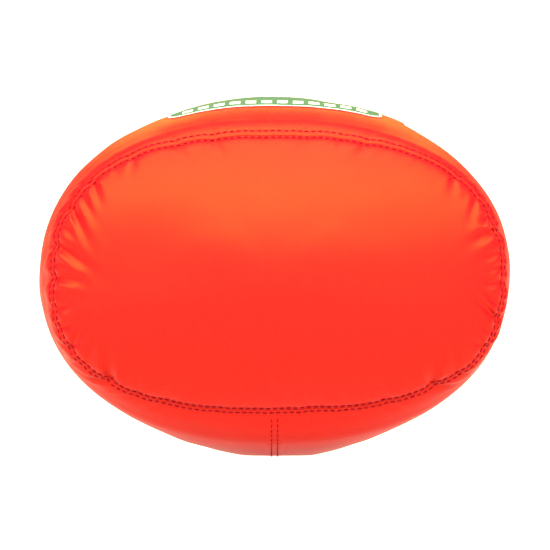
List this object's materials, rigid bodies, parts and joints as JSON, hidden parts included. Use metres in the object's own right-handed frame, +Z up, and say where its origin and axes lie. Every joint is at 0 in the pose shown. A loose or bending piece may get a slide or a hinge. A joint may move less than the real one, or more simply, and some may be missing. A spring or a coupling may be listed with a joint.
{
  "type": "first aid kit",
  "caption": "Soft roll-top bag with an oval base that carries first aid supplies, its rolled neck buckled into a carry loop.",
  "frame": {"origin": "on the floor, under the centre of the object's box, with the bag lying on its back", "axes": "+Z up through the label side, +Y along the bag from the oval base to the rolled closure, +X to the right seen from the base"},
  "size_m": [0.196, 0.3308, 0.1499],
  "materials": {
    "shell_fabric": "matte",
    "label_green": "satin",
    "label_white": "satin",
    "thread": "matte",
    "webbing": "matte",
    "buckle_plastic": "satin",
    "seam_tape": "satin",
    "stiffener_plastic": "satin",
    "elastic_bandage": "matte",
    "white_cotton": "matte",
    "packet_paper": "satin",
    "case_plastic": "satin",
    "foil": "glossy",
    "glove_rubber": "matte",
    "foam": "matte",
    "cardboard": "matte"
  },
  "bodies": {
    "bag": {"bag_body": "shell_fabric", "base_panel": "shell_fabric", "base_seam_tape": "seam_tape", "back_seam_tape": "seam_tape", "label_panel": "label_green", "label_print": "label_white", "elastic_bandage_wide": "elastic_bandage", "elastic_bandage_narrow": "elastic_bandage", "gauze_roll_left": "white_cotton", "gauze_roll_right": "white_cotton", "triangular_bandage_lower": "white_cotton", "triangular_bandage_upper": "white_cotton", "compress_packets": "packet_paper", "wound_dressing": "white_cotton", "plaster_box": "case_plastic", "plaster_box_lid": "case_plastic", "plaster_strips": "packet_paper", "tape_roll": "white_cotton", "tape_core": "cardboard", "folded_splint": "foam", "rescue_blanket": "foil", "gloves_packet": "glove_rubber", "wipe_sachets": "packet_paper", "leaflet": "packet_paper"},
    "closure": {"neck_sleeve": "shell_fabric", "roll_centre": "shell_fabric", "stiffener_strip": "stiffener_plastic"},
    "left_arm": {"roll_end_left": "shell_fabric", "webbing_tab_left": "webbing", "bartack_left": "thread"},
    "right_arm": {"roll_end_right": "shell_fabric", "webbing_tab_right": "webbing", "bartack_right": "thread"},
    "socket": {"buckle_socket": "buckle_plastic"},
    "plug": {"buckle_plug": "buckle_plastic"},
    "front_latch": {"latch_arm_front": "buckle_plastic"},
    "back_latch": {"latch_arm_back": "buckle_plastic"}
  },
  "joints": [
    {"name": "closure_fold", "type": "hinge", "parent": "bag", "child": "closure", "pos_m": [0, 0.06463, 0.0738], "axis": [1, 0, 0], "range_deg": [-45, 45]},
    {"name": "left_arm_spread", "type": "hinge", "parent": "closure", "child": "left_arm", "pos_m": [-0.07302, 0.09001, 0.0738], "axis": [0, 0, 1], "range_deg": [0, 40], "deforming": ["latch_arm_front", "latch_arm_back"]},
    {"name": "right_arm_spread", "type": "hinge", "parent": "closure", "child": "right_arm", "pos_m": [0.07302, 0.09001, 0.0738], "axis": [0, 0, 1], "range_deg": [-40, 0]},
    {"name": "socket_swing", "type": "hinge", "parent": "left_arm", "child": "socket", "pos_m": [-0.027, 0.16062, 0.0738], "axis": [0, 0, 1], "range_deg": [-40, 0]},
    {"name": "plug_swing", "type": "hinge", "parent": "right_arm", "child": "plug", "pos_m": [0.027, 0.16062, 0.0738], "axis": [0, 0, 1], "range_deg": [0, 40]},
    {"name": "front_latch_squeeze", "type": "hinge", "parent": "plug", "child": "front_latch", "pos_m": [0.0105, 0.16062, 0.0818], "axis": [0, -1, 0], "range_deg": [0, 12], "stiffness_Nm_per_rad": 1},
    {"name": "back_latch_squeeze", "type": "hinge", "parent": "plug", "child": "back_latch", "pos_m": [0.0105, 0.16062, 0.0658], "axis": [0, 1, 0], "range_deg": [0, 12], "stiffness_Nm_per_rad": 1}
  ],
  "couplings": [
    {"joint": "right_arm_spread", "follows": "left_arm_spread", "ratio": -1},
    {"joint": "socket_swing", "follows": "left_arm_spread", "ratio": -1},
    {"joint": "plug_swing", "follows": "left_arm_spread", "ratio": 1}
  ]
}
